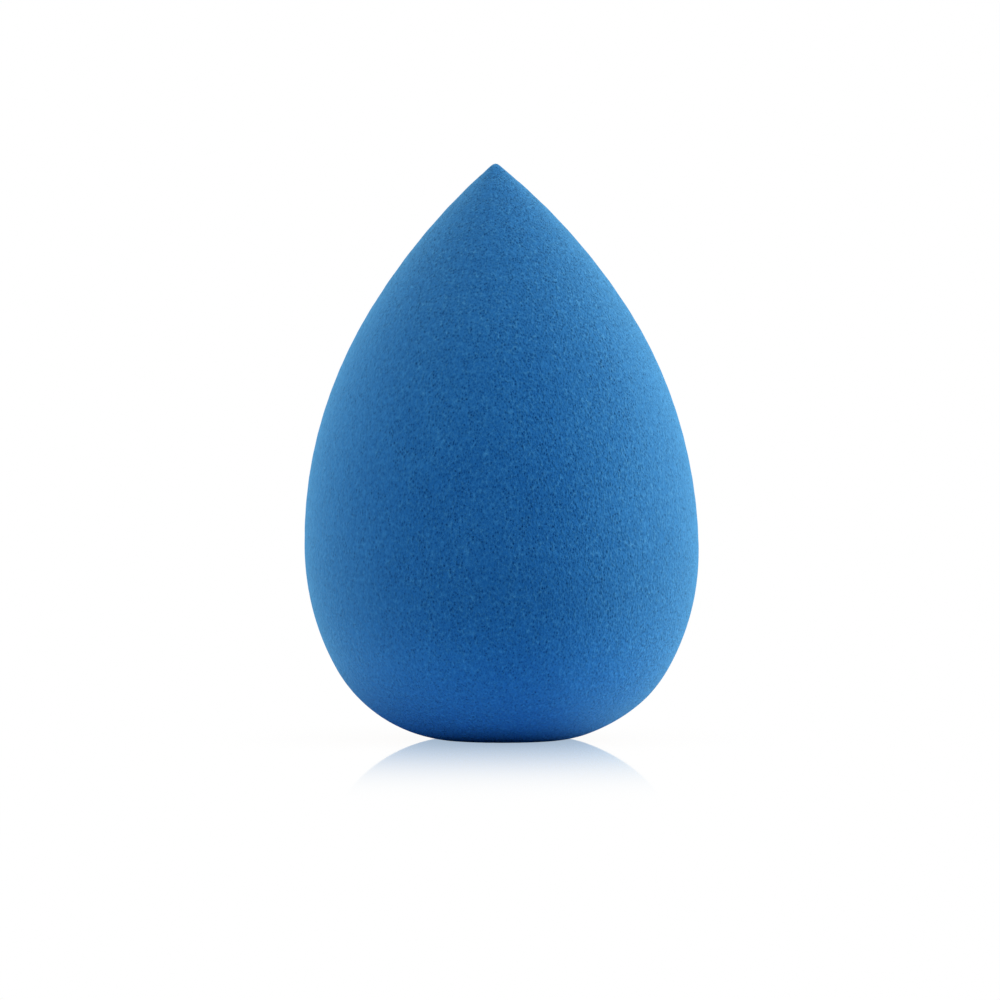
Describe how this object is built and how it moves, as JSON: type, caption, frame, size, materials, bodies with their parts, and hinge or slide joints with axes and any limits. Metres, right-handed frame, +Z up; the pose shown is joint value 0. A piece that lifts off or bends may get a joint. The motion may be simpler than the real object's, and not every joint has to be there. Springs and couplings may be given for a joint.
{
  "type": "makeup sponge",
  "caption": "Teardrop makeup blending sponge of soft blue foam, with a pointed tip, a round belly and a small flat seat.",
  "frame": {"origin": "middle of the flat seat that the sponge stands on", "axes": "+Z up through the tip, which is also the axis that the body is round about"},
  "size_m": [0.041, 0.041, 0.06],
  "materials": {
    "foam": "matte fine-celled foam"
  },
  "bodies": {
    "root": {"foam_body": "foam"}
  },
  "joints": []
}
